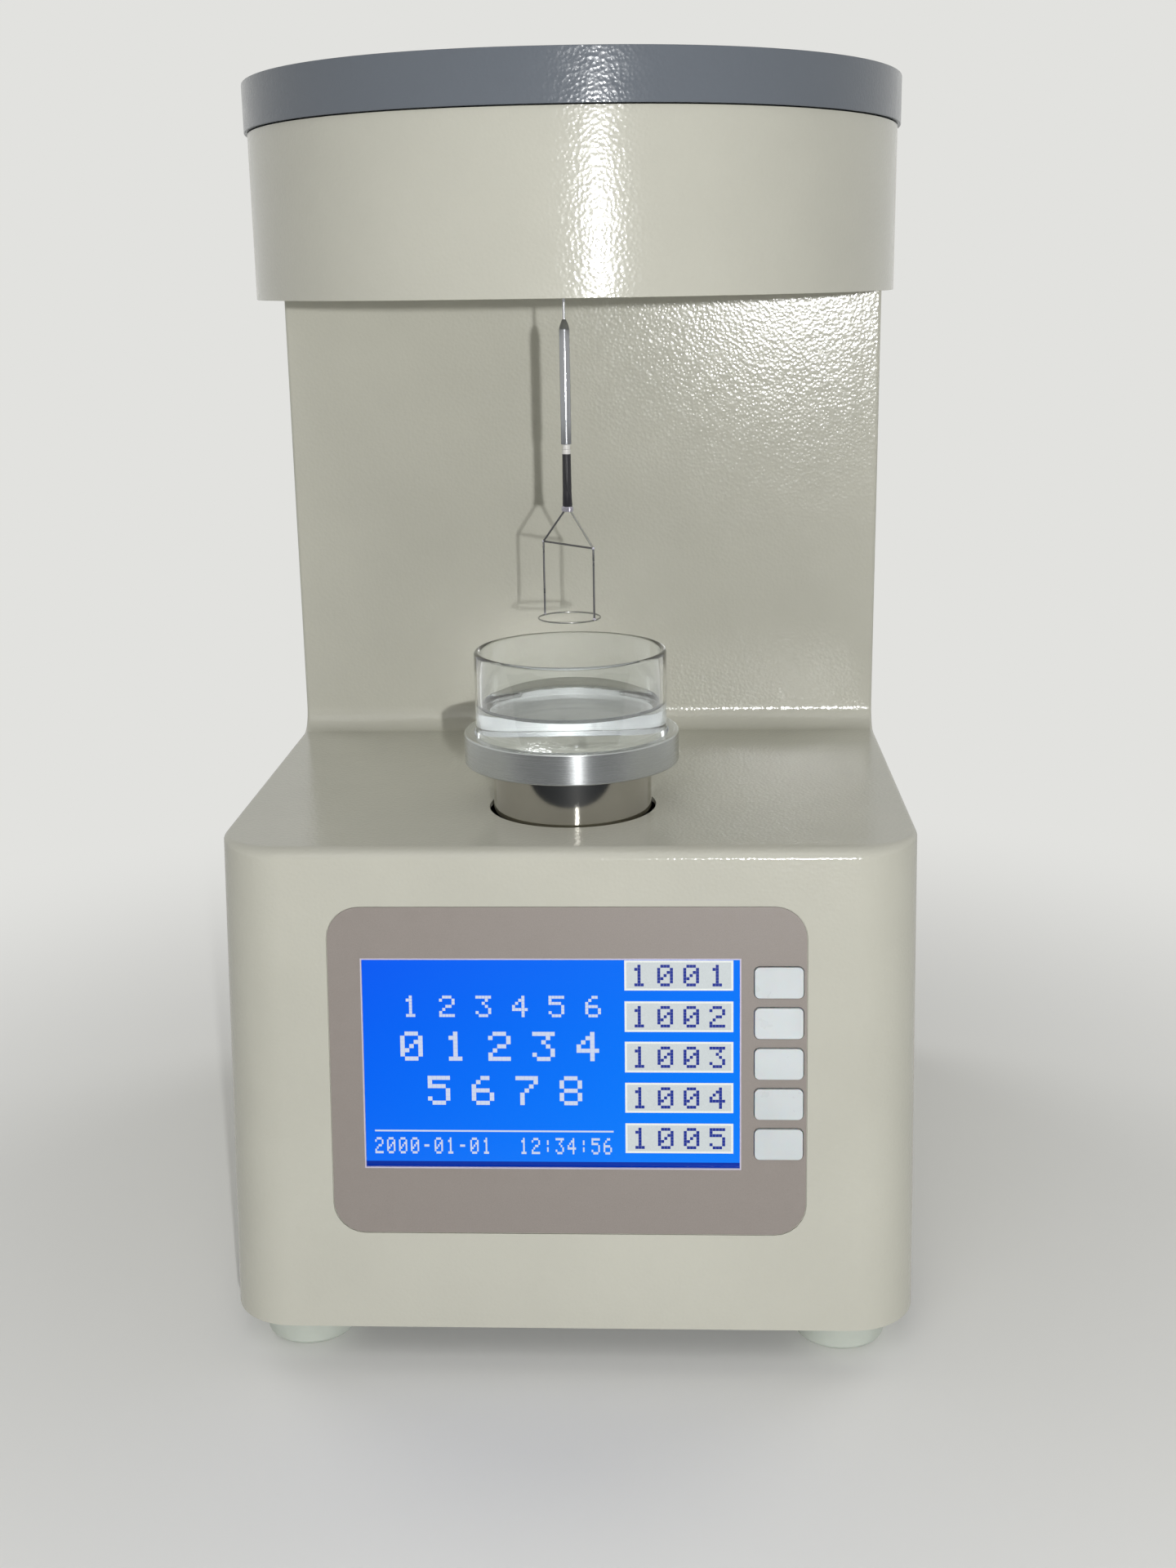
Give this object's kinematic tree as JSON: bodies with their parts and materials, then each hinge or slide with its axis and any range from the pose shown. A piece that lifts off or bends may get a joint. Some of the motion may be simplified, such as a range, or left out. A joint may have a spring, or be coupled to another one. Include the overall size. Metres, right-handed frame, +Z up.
{
  "type": "surface tensiometer",
  "caption": "Bench instrument that lowers and raises a cup of liquid under a wire ring hung from a balance, and shows the pull on a display.",
  "frame": {"origin": "on the bench, under the middle of the instrument", "axes": "+Z up along the height, front towards -Y, +X to the right seen from the front"},
  "size_m": [0.212, 0.263, 0.379],
  "materials": {
    "cream_paint": "textured gloss paint, cream grey",
    "grey_paint": "textured gloss paint, slate grey",
    "plated_steel": "zinc-plated sheet",
    "foot_nylon": "translucent nylon",
    "screw_steel": "plated screws",
    "film": "taupe polyester film",
    "display": "blue liquid crystal display",
    "black_plastic": "moulded black plastic",
    "circuit_board": "solder-masked board",
    "key_white": "white key cap",
    "cable_grey": "flat cable",
    "mirror_steel": "polished steel",
    "aluminium": "turned aluminium",
    "cast_grey": "cast aluminium",
    "cup_glass": "clear glass",
    "bright_steel": "ground steel",
    "bronze": "bronze and brass",
    "platinum": "platinum wire",
    "dark_sleeve": "dark sleeve",
    "magnet_iron": "soft iron",
    "winding": "enamelled winding on its former",
    "core_steel": "laminated core and its winding"
  },
  "bodies": {
    "frame": {"main_housing": "cream_paint", "head_housing": "cream_paint", "rear_panel": "cream_paint", "bottom_plate": "plated_steel", "foot_front_left": "foot_nylon", "foot_front_right": "foot_nylon", "foot_rear_left": "foot_nylon", "foot_rear_right": "foot_nylon", "foot_screws": "screw_steel", "case_screws": "screw_steel", "panel_film": "film", "lcd_glass": "display", "lcd_frame": "black_plastic", "display_board": "circuit_board", "key_switches": "black_plastic", "key_board": "circuit_board", "board_spacers": "bronze", "display_cable": "cable_grey", "guide_rods": "bright_steel", "lift_motor": "magnet_iron", "motor_plate": "aluminium", "motor_pillars": "bright_steel", "guide_plate": "aluminium", "switch_rail": "aluminium", "limit_switches": "black_plastic", "balance_base": "cast_grey", "magnet": "magnet_iron", "pivot_wire": "bright_steel", "beam_stop": "aluminium", "position_sensor": "black_plastic", "main_board": "circuit_board", "board_pillars": "bronze", "transformer": "core_steel", "mains_inlet": "black_plastic", "data_socket": "bright_steel"},
    "stage": {"stage_post": "mirror_steel", "stage_collar": "aluminium", "stage_carriage": "aluminium", "lead_nut": "bronze", "guide_bushes": "bronze"},
    "screw": {"lead_screw": "bright_steel", "shaft_coupling": "aluminium", "motor_shaft": "bright_steel"},
    "cup": {"sample_cup": "cup_glass"},
    "key_1": {"key_1": "key_white"},
    "key_2": {"key_2": "key_white"},
    "key_3": {"key_3": "key_white"},
    "key_4": {"key_4": "key_white"},
    "key_5": {"key_5": "key_white"},
    "cap": {"top_cap": "grey_paint"},
    "beam": {"balance_beam": "aluminium", "coil": "winding", "counterweight": "bronze"},
    "hanger": {"measuring_ring": "platinum", "ring_frame": "platinum", "hanger_sleeve": "dark_sleeve", "hanger_rod": "bright_steel", "hanger_hook": "bright_steel"},
    "rocker": {"mains_rocker": "black_plastic"},
    "drawer": {"fuse_drawer": "black_plastic"}
  },
  "joints": [
    {"name": "stage_lift", "type": "slide", "parent": "frame", "child": "stage", "axis": [0, 0, 1], "range_m": [-0.014, 0.029]},
    {"name": "screw_turn", "type": "hinge", "parent": "frame", "child": "screw", "pos_m": [0, -0.0635, 0.08], "axis": [0, 0, 1], "range_deg": [-2615, 1265]},
    {"name": "cup_lift", "type": "slide", "parent": "stage", "child": "cup", "axis": [0, 0, 1], "range_m": [0, 0.0065]},
    {"name": "key_1_press", "type": "slide", "parent": "frame", "child": "key_1", "axis": [0, 0.991, -0.134], "range_m": [0, 0.0015], "stiffness_N_per_m": 200, "springref_m": -0.001},
    {"name": "key_2_press", "type": "slide", "parent": "frame", "child": "key_2", "axis": [0, 0.991, -0.134], "range_m": [0, 0.0015], "stiffness_N_per_m": 200, "springref_m": -0.001},
    {"name": "key_3_press", "type": "slide", "parent": "frame", "child": "key_3", "axis": [0, 0.991, -0.134], "range_m": [0, 0.0015], "stiffness_N_per_m": 200, "springref_m": -0.001},
    {"name": "key_4_press", "type": "slide", "parent": "frame", "child": "key_4", "axis": [0, 0.991, -0.134], "range_m": [0, 0.0015], "stiffness_N_per_m": 200, "springref_m": -0.001},
    {"name": "key_5_press", "type": "slide", "parent": "frame", "child": "key_5", "axis": [0, 0.991, -0.134], "range_m": [0, 0.0015], "stiffness_N_per_m": 200, "springref_m": -0.001},
    {"name": "cap_lift", "type": "slide", "parent": "frame", "child": "cap", "axis": [0, 0, 1], "range_m": [0, 0.06]},
    {"name": "beam_tilt", "type": "hinge", "parent": "frame", "child": "beam", "pos_m": [0, -0.0035, 0.349], "axis": [1, 0, 0], "range_deg": [-1.5, 1.5], "stiffness_Nm_per_rad": 0.6},
    {"name": "hanger_swing", "type": "hinge", "parent": "beam", "child": "hanger", "pos_m": [0, -0.0635, 0.349], "axis": [1, 0, 0], "range_deg": [-3, 3]},
    {"name": "rocker_turn", "type": "hinge", "parent": "frame", "child": "rocker", "pos_m": [0.06, 0.1255, 0.075], "axis": [1, 0, 0], "range_deg": [0, 14]},
    {"name": "drawer_pull", "type": "slide", "parent": "frame", "child": "drawer", "axis": [0, 1, 0], "range_m": [0, 0.014]}
  ],
  "couplings": [
    {"joint": "screw_turn", "follows": "stage_lift", "rad_per_m": -1570.8}
  ]
}
